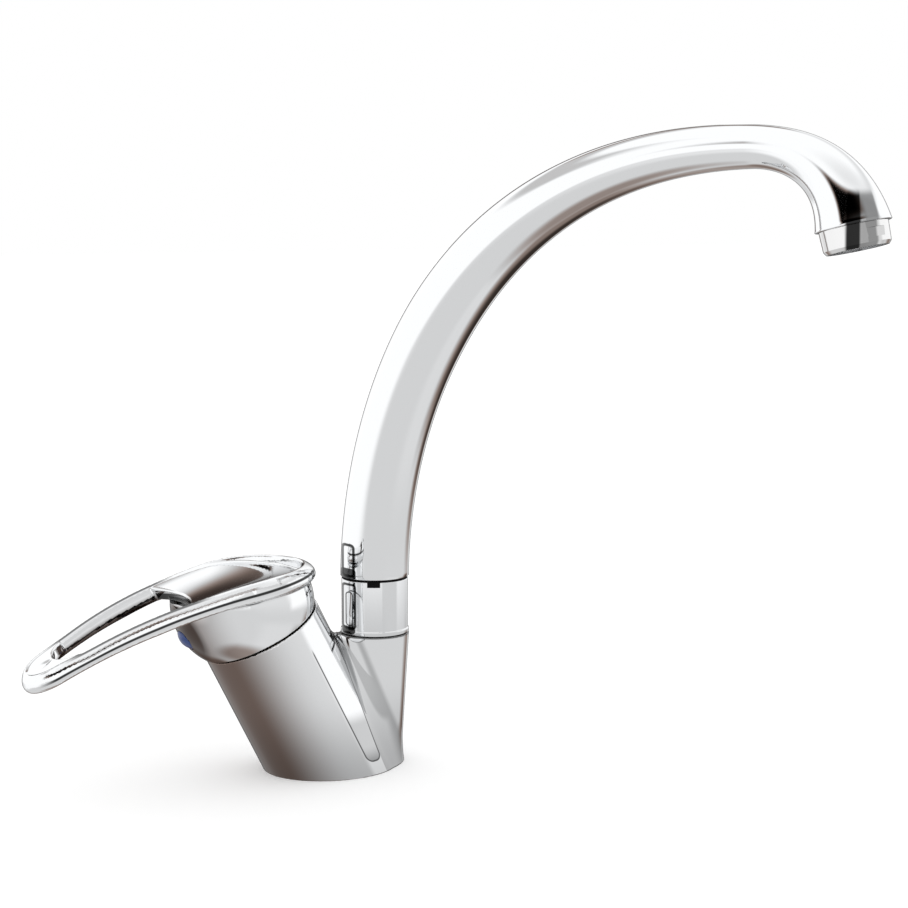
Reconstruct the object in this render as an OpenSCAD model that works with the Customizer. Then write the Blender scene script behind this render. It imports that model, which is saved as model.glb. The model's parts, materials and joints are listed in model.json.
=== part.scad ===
// Single-lever kitchen mixer with a leaning barrel, an open loop lever and a tall swivel spout.
// The origin is the middle of the base, on the worktop. The lever points to -X and +Z is up.

/* [Body] */
// Radius of the leaning barrel
barrel_r = 23.5; // [22.5:0.1:26]
// Length of the barrel along its axis, from the worktop to its mouth
barrel_len = 63.7; // [60:0.1:72]
// Angle that the barrel leans back from upright
barrel_lean = 27; // [22:0.5:32]
// Distance from the middle of the base to the spout axis
socket_x = 19.4; // [18:0.1:23]
// Height of the spout socket
socket_top = 51; // [48:0.5:58]
// Radius of the spout socket at its top
socket_r = 13.3; // [13:0.1:15]
// Taper of the socket on each side
socket_taper = 3.6; // [1:0.2:5]
// Radius of the blend between barrel and socket at the worktop
blend_low = 7; // [4:0.5:10]
// Radius of the blend between barrel and socket at the top
blend_high = 10; // [6:0.5:13]
// Radius of the notch between barrel and socket
notch_r = 7; // [4:0.5:9]
// Bore that holds the cartridge
chamber_r = 20.3; // [20.2:0.05:20.6]
// Depth of the cartridge bore below the mouth
chamber_depth = 38; // [36:0.5:41]

/* [Underside] */
// Radius of each inlet thread
inlet_r = 4.6; // [4:0.1:5]
// Depth of each inlet thread
inlet_depth = 11; // [8:0.5:13]
// Distance of the inlets behind the middle
inlet_x = -7; // [-9:0.5:-5]
// Half the distance between the inlets
inlet_y = 8.5; // [7.5:0.1:9.5]
// Radius of the fixing stud thread
stud_r = 3.4; // [2.5:0.1:4]
// Depth of the fixing stud thread
stud_depth = 13; // [8:0.5:14]
// Distance of the stud from the middle
stud_x = 11; // [9:0.5:12]
// Outer radius of the base seal
seal_r = 21.5; // [20:0.1:22]
// Width of the base seal
seal_w = 2.4; // [1.5:0.1:3]
// Depth of the base seal
seal_t = 1.6; // [1:0.1:2.5]

/* [Cartridge] */
// Radius of the cartridge shell
shell_r = 20; // [19.6:0.05:20.1]
// Radius of the cartridge neck
neck_r = 12.4; // [12:0.1:13]
// Radius of the turning carriage
carriage_r = 9.7; // [9.4:0.05:10]
// Height of the tilt pin above the barrel mouth
pivot_s = 11; // [10:0.25:12]
// Radius of the tilt pin
pin_r = 2; // [1.5:0.1:2.2]
// Side of the square lever stem
stem_w = 7; // [6:0.1:7.4]
// Length of the stem below the pin
stem_arm = 10; // [9:0.25:11]
// Thickness of each ceramic disc
disc_t = 3; // [2.5:0.1:3.5]
// Radius of the fixed disc
fixed_disc_r = 17.6; // [17:0.1:17.7]
// Radius of the moving disc
moving_disc_r = 12.8; // [12:0.1:13.2]

/* [Handle] */
// Wall of the handle skirt
skirt_wall = 2; // [1.5:0.1:2.4]
// Gap between the skirt and the barrel mouth
skirt_gap = 0.4; // [0.3:0.05:0.8]
// Forward shift of the chin of the hub
chin_shift = 3.2; // [1:0.1:4]
// Radius of the chin of the hub
chin_r = 25.2; // [24.6:0.1:26]
// Height of the middle of the chin
chin_s = 14.5; // [13:0.5:16]
// Reach of the loop from the barrel axis to the middle of its tip
loop_reach = 74.5; // [60:0.5:85]
// Radius of the loop round the hub
loop_r = 24.6; // [24:0.1:25]
// Radius of the loop at its tip
loop_tip_r = 11.2; // [9:0.5:14]
// Outward bow of the two rails
loop_bow = 1; // [0:0.1:2]
// Height of the crest of the loop above the barrel mouth
crest_s = 35.9; // [34:0.1:38]
// Distance of the crest in front of the barrel axis
crest_r = 60; // [55:1:65]
// Radius of the arch that the loop follows
arch_r = 180; // [170:5:220]
// Height of the loop's band
band_h = 8.2; // [7:0.1:9]
// How much lower the band is behind the hub, as a share of its height
rear_trim = 0.22; // [0.2:0.01:0.4]
// Shift of the loop's round end to the rear of the hub
loop_mid = 1.2; // [0:0.1:1.6]
// Depth by which the ridge of the loop sinks along its rails
ridge_dip = 1.4; // [0.8:0.1:1.5]
// Share by which the band is lower at the tip
tip_trim = 0.2; // [0.1:0.01:0.25]
// Depth of the floor below the ridge of the loop
dish_depth = 3.4; // [2.5:0.1:3.8]

/* [Spout] */
// Direction of the spout at rest, turned from +X
spout_turn = -60; // [-180:5:180]
// Radius of the collar under the spout
collar_r = 12.9; // [12.7:0.05:13.3]
// Height of the collar
collar_h = 21.4; // [14:0.2:30]
// Radius of the spout tube at its root
tube_r = 13.3; // [13.1:0.1:14]
// Radius of the spout tube at its apex
tube_neck_r = 7.6; // [7:0.1:9]
// Radius of the spout mouth
mouth_r = 13.1; // [12.9:0.1:14]
// Wall of the spout tube
tube_wall = 2.2; // [1.8:0.1:2.6]
// Horizontal distance from the swivel axis to the mouth
spout_reach = 193.7; // [150:1:240]
// Height of the mouth above the worktop
mouth_z = 209.9; // [180:1:260]
// Horizontal distance from the swivel axis to the apex
apex_u = 156; // [120:1:175]
// Height of the middle of the tube at the apex
apex_z = 236.7; // [225:1:300]
// Outward tilt of the mouth from straight down
mouth_tilt = 13; // [0:1:25]
// Radius of the spigot that turns in the collar
spigot_r = 8.5; // [8:0.05:8.6]

/* [Aerator] */
// Radius of the aerator thread
aerator_thread_r = 10.9; // [10.5:0.05:11]
// Radius of the visible aerator ring
aerator_r = 11.8; // [11.5:0.1:12.4]
// Length of the visible aerator ring
aerator_h = 8; // [6:0.2:10]

/* [Hidden] */
$fn = 96;
chrome = [0.82, 0.84, 0.86];
brass = [0.78, 0.64, 0.35];
plastic = [0.9, 0.9, 0.88];
ceramic = [0.95, 0.94, 0.9];
rubber = [0.12, 0.12, 0.13];
steel = [0.68, 0.7, 0.72];
eps = 0.01;

// Lift of the lever from closed to fully open
lift_angle = 20;

// Named clearances
thread_gap = 0.15;
run_gap = 0.06;
slide_gap = 0.15;
film = 0.02;

// The barrel's own frame: X is towards the spout, Z runs up the axis and 0 is its mouth
mouth_x = -barrel_len * sin(barrel_lean);
mouth_h = barrel_len * cos(barrel_lean);
module on_barrel() {
    translate([mouth_x, 0, mouth_h]) rotate([0, -barrel_lean, 0]) children();
}
module ring(outer, inner, from, to) {
    translate([0, 0, from]) difference() {
        cylinder(r = outer, h = to - from);
        translate([0, 0, -1]) cylinder(r = inner, h = to - from + 2);
    }
}
module disc(r, from, to) {
    translate([0, 0, from]) cylinder(r = r, h = to - from);
}

// Body: one casting of barrel, socket and the blend between them
socket_slope = tan(socket_taper);
function socket_rad(z) = socket_r - (socket_top - z) * socket_slope;
function barrel_mid(z) = -z * tan(barrel_lean);
barrel_half = barrel_r / cos(barrel_lean);
function blend_rad(z) = blend_low + (blend_high - blend_low) * z / socket_top;
// How far a ball that rests on the socket at angle f is outside the barrel, below zero inside
function ball_miss(z, f, b) =
    pow((socket_x + (socket_rad(z) + b) * cos(f) - barrel_mid(z)) / (barrel_half + b), 2)
    + pow((socket_rad(z) + b) * sin(f) / (barrel_r + b), 2) - 1;
function ball_angle(z, b, low = 0, high = 180, n = 24) = n == 0 ? (low + high) / 2
    : ball_miss(z, (low + high) / 2, b) > 0 ? ball_angle(z, b, (low + high) / 2, high, n - 1)
    : ball_angle(z, b, low, (low + high) / 2, n - 1);
blend_steps = 8;
blend_bite = 0.12;
blend_sink = 1.5;
// One side of a level section of the blend, from inside the barrel to inside the socket
function blend_side(z, less = 0) = let (b = blend_rad(z) - less, f = ball_angle(z, b),
    mx = socket_x + (socket_rad(z) + b) * cos(f), my = (socket_rad(z) + b) * sin(f),
    to_barrel = atan2(my / (barrel_r + b), (mx - barrel_mid(z)) / (barrel_half + b)) + 180,
    to_socket = f + 180, r = b + blend_bite)
    concat([[mx + (r + blend_sink) * cos(to_barrel), my + (r + blend_sink) * sin(to_barrel)]],
    [for (i = [0:blend_steps]) let (a = to_barrel + (to_socket - to_barrel) * i / blend_steps)
        [mx + r * cos(a), my + r * sin(a)]],
    [[mx + r * cos(to_socket) + 0.5, (my + r * sin(to_socket)) * 0.8]]);
function mirrored(pts) = [for (i = [len(pts) - 1:-1:0]) [pts[i][0], -pts[i][1]]];
function blend_section(z, less = 0) = let (side = blend_side(z, less)) concat(mirrored(side), side);
// Skin over rings of points that mirror each other in pairs, with flat ends cut in strips
function ring_faces(rings, count) = concat(
    [for (j = [0:count / 2 - 2]) [count - 1 - j, count - 2 - j, j + 1, j]],
    [for (j = [0:count / 2 - 2], k = [(rings - 1) * count])
        [k + j, k + j + 1, k + count - 2 - j, k + count - 1 - j]],
    [for (i = [0:rings - 2], j = [0:count - 1])
        [i * count + j, i * count + (j + 1) % count, (i + 1) * count + j]],
    [for (i = [0:rings - 2], j = [0:count - 1])
        [(i + 1) * count + j, i * count + (j + 1) % count, (i + 1) * count + (j + 1) % count]]);
blend_rings = 12;
blend_drop = 0.05;
module blend() {
    heights = [for (i = [0:blend_rings - 1]) (socket_top - blend_drop) * i / (blend_rings - 1)];
    points = [for (z = heights) for (p = blend_section(z)) [p[0], p[1], z]];
    polyhedron(points, ring_faces(blend_rings, 2 * (blend_steps + 3)));
}
// Hollow fillet that rises from the top of the blend to the back of the barrel
notch_sink = 0.5;
module notch() {
    corner = barrel_mid(socket_top) + barrel_half;
    tangent = notch_r / tan(45 + barrel_lean / 2);
    rise = notch_r * (1 - sin(barrel_lean));
    intersection() {
        translate([0, 0, socket_top - notch_sink]) linear_extrude(height = rise + notch_sink)
            polygon(blend_section(socket_top, 0.6));
        difference() {
            translate([corner - rise - 4, -20, socket_top - 1])
                cube([tangent + rise + 3.5, 40, rise + 2]);
            translate([corner + tangent + 0.06, 30, socket_top + notch_r - 0.05])
                rotate([90, 0, 0]) cylinder(r = notch_r, h = 60);
        }
    }
}
lip_r = barrel_r - 0.55;
lip_depth = 3.9;
outlet_port_r = 4.2;
outlet_port_x = 10;
collar_thread_r = 10.4;
collar_thread_h = 13;
well_depth = 16;
well_r = 6;
cross_r = 4;
cross_low = 21.5;
cross_high = 26;
inlet_bore_r = 3;
port_x = 3;
module body_bores() {
    on_barrel() {
        disc(chamber_r, -chamber_depth, 1);
        translate([0, 0, -lip_depth])
            cylinder(r1 = chamber_r, r2 = 2 * lip_r - chamber_r, h = 2 * lip_depth);
        for (side = [-1, 1]) translate([port_x, side * inlet_y, 0])
            disc(inlet_bore_r, -chamber_depth - 4, -chamber_depth + 1);
        translate([outlet_port_x, 0, 0])
            disc(outlet_port_r, -chamber_depth - 7, -chamber_depth + 1);
    }
    for (side = [-1, 1]) translate([inlet_x, side * inlet_y, -1]) {
        cylinder(r = inlet_r, h = inlet_depth + 1);
        cylinder(r = inlet_bore_r, h = mouth_h - chamber_depth * cos(barrel_lean));
    }
    translate([stud_x, 0, -1]) cylinder(r = stud_r, h = stud_depth + 1);
    translate([socket_x, 0, socket_top - well_depth])
        cylinder(r = collar_thread_r + thread_gap, h = well_depth + 1);
    translate([socket_x, 0, cross_high - cross_r]) cylinder(r = well_r, h = socket_top - cross_high);
    cross_x = mouth_x + outlet_port_x * cos(barrel_lean) + (chamber_depth + 4) * sin(barrel_lean);
    translate([socket_x, 0, cross_high])
        rotate([0, -90 - atan2(cross_high - cross_low, socket_x - cross_x), 0])
        cylinder(r = cross_r, h = socket_x - cross_x + 1);
    ring(seal_r, seal_r - seal_w, -1, seal_t);
}
module body() color(chrome) difference() {
    union() {
        intersection() {
            on_barrel() disc(barrel_r, -barrel_len - barrel_r, 0);
            translate([-100, -100, 0]) cube(200);
        }
        translate([socket_x, 0, 0])
            cylinder(r1 = socket_rad(0), r2 = socket_r, h = socket_top);
        blend();
        notch();
    }
    body_bores();
}
module base_seal() color(rubber) ring(seal_r - run_gap, seal_r - seal_w + run_gap, 0, seal_t);

// Cartridge, all in the barrel's frame, from its base up
base_flange = 3;
base_top = -chamber_depth + 5;
base_r = shell_r - 0.8;
base_rim_h = disc_t + 0.7;
shell_wall = 0.6;
shell_bottom = -chamber_depth + base_flange;
shell_top = -13;
shell_roof = 4.3;
neck_top = 3;
port_r = 3.2;
seal_ring_r = 5.2;
seal_depth = 1.5;
port_places = [[port_x, inlet_y, port_r], [port_x, -inlet_y, port_r],
    [outlet_port_x, 0, outlet_port_r]];
module cartridge_base() color(plastic) on_barrel() difference() {
    union() {
        disc(shell_r, -chamber_depth, shell_bottom);
        disc(base_r, -chamber_depth, base_top);
        ring(base_r, fixed_disc_r + slide_gap, base_top, base_top + base_rim_h);
    }
    for (p = port_places) translate([p[0], p[1], 0]) {
        disc(p[2] - 0.4, -chamber_depth - 1, base_top + 1);
        disc(p[2] + 0.9, -chamber_depth - 1, -chamber_depth + seal_depth);
    }
}
module port_seals() color(rubber) on_barrel() for (p = port_places) translate([p[0], p[1], 0])
    ring(p[2] + 0.85, p[2] - 0.35, -chamber_depth, -chamber_depth + seal_depth);
fixed_top = base_top + disc_t;
module fixed_disc() color(ceramic) on_barrel() difference() {
    disc(fixed_disc_r, base_top, fixed_top);
    for (p = port_places) translate([p[0], p[1], 0]) disc(p[2] - 0.6, base_top - 1, fixed_top + 1);
}
moving_low = fixed_top + film;
moving_top = moving_low + disc_t;
module moving_disc() color(ceramic) on_barrel() difference() {
    disc(moving_disc_r, moving_low, moving_top);
    translate([6.5, 0, 0]) disc(5, moving_low - 1, moving_low + 1.6);
}
post_r = 3.8;
post_y = 3.4;
pocket_r = 2.58;
ball_r = 2.5;
ball_s = pivot_s - stem_arm;
carrier_h = 5.2;
carrier_top = moving_top + carrier_h;
post_top = ball_s + 2.2;
module disc_carrier() color(plastic) on_barrel() difference() {
    union() {
        disc(moving_disc_r + 0.2, moving_top, carrier_top);
        translate([-post_r, -post_y, carrier_top - 1])
            cube([2 * post_r, 2 * post_y, post_top - carrier_top + 1]);
    }
    disc(pocket_r, ball_s - ball_r - 1, post_top + 1);
}
module cartridge_shell() color(plastic) on_barrel() difference() {
    union() {
        disc(shell_r, shell_bottom, shell_top);
        disc(neck_r, shell_top - 1, neck_top);
    }
    disc(base_r + slide_gap, shell_bottom - 1, base_top + base_rim_h);
    disc(fixed_disc_r + shell_wall, shell_bottom, shell_top - shell_roof);
    disc(carriage_r + run_gap, shell_bottom, neck_top + 1);
}
flange_low = carrier_top + slide_gap;
flange_top = shell_top - shell_roof - slide_gap;
flange_r = fixed_disc_r - 0.1;
slide_travel = stem_arm * sin(lift_angle);
cheek_in = 4.9;
cheek_out = 8.6;
cheek_r = 3.2;
carriage_top = pivot_s - 4.8;
module turning_carriage() color(plastic) on_barrel() difference() {
    union() {
        disc(flange_r, flange_low, flange_top);
        disc(carriage_r, flange_low, carriage_top);
        for (side = [-1, 1]) {
            translate([-cheek_r, side * (cheek_in + cheek_out) / 2 - (cheek_out - cheek_in) / 2,
                carriage_top - 1]) cube([2 * cheek_r, cheek_out - cheek_in,
                pivot_s - carriage_top + 1]);
            translate([0, side * (cheek_in + cheek_out) / 2 + (cheek_out - cheek_in) / 2, pivot_s])
                rotate([90, 0, 0]) cylinder(r = cheek_r, h = cheek_out - cheek_in);
        }
    }
    translate([-post_r - slide_travel - 2 * slide_gap, -post_y - slide_gap, flange_low - 1])
        cube([2 * post_r + slide_travel + 4 * slide_gap, 2 * (post_y + slide_gap),
            carriage_top - flange_low + 2]);
    translate([0, cheek_out + 1, pivot_s])
        rotate([90, 0, 0]) cylinder(r = pin_r + film, h = 2 * cheek_out + 2);
}
module pivot_pin() color(steel) on_barrel() translate([0, cheek_out, pivot_s])
    rotate([90, 0, 0]) cylinder(r = pin_r, h = 2 * cheek_out);
stem_top = 20.2;
arm_r = 1.8;
module lever_stem() color(brass) on_barrel() difference() {
    union() {
        translate([-stem_w / 2, -stem_w / 2, pivot_s]) cube([stem_w, stem_w, stem_top - pivot_s]);
        translate([0, cheek_in - slide_gap, pivot_s]) rotate([90, 0, 0])
            cylinder(r = stem_w / 2, h = 2 * (cheek_in - slide_gap));
        disc(arm_r, ball_s, pivot_s);
        translate([0, 0, ball_s]) sphere(r = ball_r);
    }
    translate([0, cheek_in + 1, pivot_s])
        rotate([90, 0, 0]) cylinder(r = pin_r + run_gap, h = 2 * cheek_in + 2);
}
nut_top = -7.2;
nut_notches = 6;
module cartridge_nut() color(brass) on_barrel() difference() {
    ring(chamber_r - thread_gap, neck_r + slide_gap, shell_top, nut_top);
    for (i = [0:nut_notches - 1]) rotate([0, 0, i * 360 / nut_notches])
        translate([17.2, -1.5, nut_top - 2]) cube([4, 3, 3]);
}
skirt_sphere = sqrt(pow(lip_r - skirt_gap, 2) + pow(pivot_s, 2));
cavity_r = skirt_sphere - skirt_wall;
dome_sphere = cavity_r - 0.5;
function dome_rad(s) = sqrt(pow(dome_sphere, 2) - pow(pivot_s - s, 2));
dome_top = 7;
dome_rim = 0.6;
dome_drop = 6.2;
dome_mid_r = 14.2;
dome_mid_s = 5.3;
dome_wall = 1.2;
module dome_cap() color(chrome) on_barrel() rotate_extrude() polygon(concat(
    [[neck_r + slide_gap, nut_top]],
    [for (i = [0:8]) let (s = -dome_drop + (dome_rim + dome_drop) * i / 8) [dome_rad(s) - 0.3, s]],
    [[dome_rad(dome_rim) - 0.6, dome_rim + 1], [dome_mid_r, dome_mid_s], [carriage_r + 1.6, dome_top],
    [carriage_r + 0.5, dome_top], [carriage_r + 0.5, dome_top - dome_wall],
    [13.2, neck_top + 1], [neck_r + slide_gap, neck_top + 0.6]]));

// Handle: hub with a round skirt about the tilt pin, loop, floor and tip pad in one casting
function arch(r) = crest_s - pow(r + crest_r, 2) / (2 * arch_r);
module arch_block(depth) translate([-crest_r, 50, crest_s - arch_r])
    rotate([90, 0, 0]) cylinder(r = arch_r - depth, h = 100, $fn = 360);
// Stations round the ridge of the loop: place and outward direction in the plane of the hub
side_turn = 90 + asin((loop_r - loop_tip_r) / (loop_reach + loop_mid));
function on_hub(a) = [loop_mid + loop_r * cos(a), loop_r * sin(a), a];
function on_tip(a) = [-loop_reach + loop_tip_r * cos(a), loop_tip_r * sin(a), a];
function on_rail(a, k) = let (p = on_hub(a) * (1 - k) + on_tip(a) * k, b = 4 * loop_bow * k * (1 - k))
    [p[0] + b * cos(a), p[1] + b * sin(a), a];
hub_steps = 22;
tip_steps = 14;
rail_steps = 7;
stations = concat(
    [for (i = [0:hub_steps]) on_hub(-side_turn + 2 * side_turn * i / hub_steps)],
    [for (i = [1:rail_steps]) on_rail(side_turn, i / (rail_steps + 1))],
    [for (i = [0:tip_steps]) on_tip(side_turn + (360 - 2 * side_turn) * i / tip_steps)],
    [for (i = [rail_steps:-1:1]) on_rail(-side_turn, i / (rail_steps + 1))]);
// Section of the band: outward of the ridge and down from it
band_section = [[-0.3, 0], [0.5, -0.3], [1.7, -2], [2.5, -3.9], [2.7, -5.4], [2.4, -7.2],
    [1.2, -band_h], [-1.6, -band_h + 0.1], [-2.3, -band_h + 1], [-2, -4.4], [-1.1, -1.4]];
function smooth(t) = let (u = min(1, max(0, t))) u * u * (3 - 2 * u);
loop_end = loop_reach + loop_tip_r;
function ridge_drop(r) = ridge_dip * smooth((0.57 * loop_r - r) / (0.47 * loop_end))
    * smooth((r + loop_end) / (0.28 * loop_end));
function band_scale(r) = 1 - rear_trim * pow(max(0, r) / (loop_r + loop_mid), 2)
    - tip_trim * min(1, max(0, -r / loop_end - 0.46) / 0.54) - ridge_drop(r) / band_h;
module band() {
    points = [for (st = stations) for (q = band_section)
        [st[0] + q[0] * cos(st[2]), st[1] + q[0] * sin(st[2]),
            arch(st[0]) - ridge_drop(st[0]) + q[1] * band_scale(st[0])]];
    n = len(band_section);
    m = len(stations);
    polyhedron(points, concat(
        [for (i = [0:m - 1], j = [0:n - 1])
            [i * n + j, ((i + 1) % m) * n + j, i * n + (j + 1) % n]],
        [for (i = [0:m - 1], j = [0:n - 1])
            [((i + 1) % m) * n + j, ((i + 1) % m) * n + (j + 1) % n, i * n + (j + 1) % n]]));
}
window_back = -21;
window_back_r = 45;
window_front = -73.8;
window_front_r = 9.5;
floor_t = 4.1;
pad_depth = 1.5;
// Behind this place the floor stays high, so that the lifted lever clears the barrel
floor_rear = 18;
floor_rear_s = pivot_s - 1.4;
dish_r = 150;
module loop_plan() linear_extrude(height = 60)
    polygon([for (st = stations) [st[0] - 0.9 * cos(st[2]), st[1] - 0.9 * sin(st[2])]]);
module loop_floor() difference() {
    intersection() {
        loop_plan();
        arch_block(0.5);
        union() {
            translate([-30, -40, 0]) cube([30 + floor_rear, 80, 80]);
            translate([-30, -40, floor_rear_s]) cube([80, 80, 80]);
        }
    }
    arch_block(dish_depth + floor_t);
    translate([-crest_r, 0, crest_s - arch_r]) rotate([90, 0, 0])
        rotate_extrude($fn = 360) translate([arch_r - dish_depth + dish_r, 0]) circle(r = dish_r);
    translate([window_back - window_back_r, 0, 0]) cylinder(r = window_back_r, h = 80);
}
module tip_pad() difference() {
    intersection() {
        loop_plan();
        arch_block(pad_depth);
        translate([-110, -40, 0]) cube([45, 80, 80]);
    }
    arch_block(band_h * (1 - tip_trim) - 1);
    translate([window_front + window_front_r, 0, 0]) cylinder(r = window_front_r, h = 80);
}
module hub_outer() intersection() {
    union() {
        translate([0, 0, pivot_s]) sphere(r = skirt_sphere, $fn = 144);
        translate([-chin_shift, 0, chin_s]) sphere(r = chin_r, $fn = 144);
    }
    translate([-40, -40, skirt_gap]) cube(80);
    arch_block(band_h - 2);
}
boss_in = 5.8;
boss_front = 11;
boss_gap = 0.4;
button_s = 12.2;
button_r = 4.35;
button_in = 3.1;
screw_tilt = 12.4;
screw_r = 2.5;
screw_len = 8;
screw_s = 17.6;
// Frame of the screw: Z runs from the face of the stem out to the button
module on_screw() translate([-stem_w / 2, 0, screw_s]) rotate([0, -90 - screw_tilt, 0]) children();
chin_front = chin_shift + chin_r;
button_z = (chin_front - stem_w / 2) / cos(screw_tilt) - 0.6;
// Room that the dome cap needs inside the hub when the lever is fully lifted
lift_gap = 0.5;
module lifted_dome_room() translate([0, 0, pivot_s]) rotate([0, -lift_angle, 0]) translate([0, 0, -pivot_s])
    rotate_extrude() polygon([[0, 0], [dome_rad(dome_rim) + lift_gap, 0],
        [dome_rad(dome_rim) + lift_gap, dome_rim + lift_gap],
        [dome_rad(dome_rim) - 0.6, dome_rim + 1 + lift_gap],
        [dome_mid_r, dome_mid_s + lift_gap], [0, dome_top + lift_gap]]);
module handle() color(chrome) on_barrel() difference() {
    union() {
        difference() {
            union() {
                hub_outer();
                loop_floor();
            }
            intersection() {
                translate([0, 0, pivot_s]) sphere(r = cavity_r, $fn = 144);
                union() {
                    arch_block(dish_depth + floor_t - 0.05);
                    lifted_dome_room();
                }
                translate([-40, -40, -40]) cube([80, 80, 60]);
            }
        }
        band();
        tip_pad();
        intersection() {
            translate([-boss_front, -boss_in, pivot_s + cheek_r + boss_gap])
                cube([boss_front + boss_in, 2 * boss_in, 12]);
            arch_block(dish_depth + floor_t - 1);
        }
    }
    translate([-stem_w / 2 - 0.05, -stem_w / 2 - 0.05, pivot_s])
        cube([stem_w + 0.1, stem_w + 0.1, stem_top - pivot_s + 0.1]);
    on_screw() disc(screw_r + thread_gap, -1, button_z + 8);
    on_screw() disc(button_in + run_gap, 14, button_z + 8);
    on_screw() disc(button_r + run_gap, button_z - 1.5, button_z + 8);
}
module handle_screw() color(steel) on_barrel() on_screw() difference() {
    disc(screw_r, screw_r * tan(screw_tilt) + 0.05, screw_len);
    translate([0, 0, screw_len - 2.5]) cylinder(r = 1.44, h = 3, $fn = 6);
}
button_bulge = 1.7;
module index_button() color([0.1, 0.28, 0.72]) on_barrel() on_screw() {
    disc(button_in, button_z - 4.5, button_z - 1.4);
    disc(button_r, button_z - 1.45, button_z);
    cap_r = (pow(button_r, 2) + pow(button_bulge, 2)) / (2 * button_bulge);
    intersection() {
        translate([0, 0, button_z + button_bulge - cap_r]) sphere(r = cap_r);
        disc(button_r, button_z - 0.5, button_z + button_bulge + 1);
    }
}

// Collar, spigot and swivel joint on the spout axis
slip_t = 0.8;
joint_z = socket_top + collar_h;
root_z = joint_z + slip_t + 0.05;
tab_w = 5;
tab_h = 2;
tab_turn = -118;
module on_swivel() translate([socket_x, 0, 0]) children();
module tab(grow) rotate([0, 0, tab_turn]) translate([collar_r - 2.2 - grow, -tab_w / 2 - grow, joint_z - tab_h - grow])
    cube([3, tab_w + 2 * grow, tab_h + grow + 0.2]);
lip_h = 1.5;
module spout_collar() color(chrome) on_swivel() difference() {
    union() {
        disc(collar_r, socket_top, joint_z);
        disc(collar_r + 0.35, socket_top + 0.3, socket_top + 0.3 + lip_h);
        disc(collar_thread_r, socket_top - collar_thread_h, socket_top + 1);
    }
    disc(spigot_r + run_gap, 0, joint_z + 1);
    translate([0, 0, socket_top - 0.02]) ring(collar_r - 0.1, collar_thread_r + 0.01, -1, 0.3);
    tab(0.05);
}
module collar_seal() color(rubber) on_swivel()
    ring(collar_r - 0.15, collar_thread_r + 0.1, socket_top, socket_top + 0.27);
module slip_ring() color(rubber) on_swivel() {
    ring(collar_r - 0.15, spigot_r + 0.3, joint_z, joint_z + slip_t);
    intersection() {
        tab(0);
        ring(collar_r + 0.1, spigot_r + 0.3, joint_z - 10, joint_z + 0.1);
    }
}
oring_r = 1.15;
oring_mid = spigot_r - oring_r + run_gap - 0.02;
oring_edge = 5;
oring_step = 13;
oring_z = [socket_top - oring_edge, socket_top - oring_edge + oring_step, joint_z - oring_edge];
spigot_bore = 4.9;
spigot_low = socket_top - well_depth + 0.8;
clip_z = socket_top - collar_thread_h - 1.4;
clip_t = 1;
clip_in = spigot_r - 1.25;
clip_slot = 4;
seat_r = 10.9;
seat_h = 9;
module spout_spigot() color(brass) on_swivel() difference() {
    union() {
        disc(spigot_r, spigot_low, root_z + seat_h);
        disc(seat_r - run_gap, root_z, root_z + seat_h);
    }
    disc(spigot_bore, 0, root_z + seat_h + 1);
    for (z = oring_z) ring(spigot_r + 2, oring_mid - oring_r - 0.02, z - oring_r - 0.1, z + oring_r + 0.1);
    ring(spigot_r + 2, clip_in - 0.05, clip_z - 0.1, clip_z + clip_t + 0.1);
}
module spigot_seals() color(rubber) on_swivel() for (z = oring_z) translate([0, 0, z])
    rotate_extrude() translate([oring_mid, 0]) circle(r = oring_r, $fn = 32);
module spout_clip() color(steel) on_swivel() difference() {
    ring(collar_thread_r - 0.6, clip_in, clip_z, clip_z + clip_t);
    rotate([0, 0, 25]) translate([0, -clip_slot / 2, clip_z - 1])
        cube([collar_thread_r, clip_slot, clip_t + 2]);
}

// Spout: a tube of changing radius along two curves that meet level at the apex
lead_up = 78;
lead_out = 1.2;
lead_back = 0.687;
lead_on = 0.51;
lead_down = 18.5;
function bezier(a, b, c, d, t) = a * pow(1 - t, 3) + b * 3 * t * pow(1 - t, 2)
    + c * 3 * t * t * (1 - t) + d * pow(t, 3);
mouth_way = [sin(mouth_tilt), -cos(mouth_tilt)];
rise_pts = [[0, root_z], [lead_out, root_z + lead_up], [apex_u * (1 - lead_back), apex_z], [apex_u, apex_z]];
fall_pts = [[apex_u, apex_z], [apex_u + (spout_reach - apex_u) * lead_on, apex_z],
    [spout_reach, mouth_z] - mouth_way * lead_down, [spout_reach, mouth_z]];
function way(k, t) = k == 0 ? bezier(rise_pts[0], rise_pts[1], rise_pts[2], rise_pts[3], t)
    : bezier(fall_pts[0], fall_pts[1], fall_pts[2], fall_pts[3], t);
taper_from = 0.38;
neck_waist = 1.9;
function tube_rad(k, t) = k == 0
    ? let (s = max(0, (t - taper_from) / (1 - taper_from)))
        tube_r - (tube_r - tube_neck_r) * (2 * s * s - s * s * s)
    : tube_neck_r + (mouth_r - tube_neck_r) * pow(t, 1.8) - neck_waist * t * pow(1 - t, 3);
rise_rings = 26;
fall_rings = 16;
tube_sides = 32;
tube_steps = concat([for (i = [0:rise_rings - 1]) [0, i / rise_rings]],
    [for (i = [0:fall_rings]) [1, i / fall_rings]]);
bore_max = 10.2;
function tube_ring(k, t, rad) = let (p = way(k, t), d = 0.002,
    q = way(k, min(1, t + d)) - way(k, max(0, t - d)),
    a = k == 0 && t == 0 ? 90 : k == 1 && t == 1 ? mouth_tilt - 90 : atan2(q[1], q[0]))
    [for (j = [0:tube_sides - 1]) let (f = 360 * j / tube_sides)
        [p[0] - rad * cos(f) * sin(a), rad * sin(f), p[1] + rad * cos(f) * cos(a)]];
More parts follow.
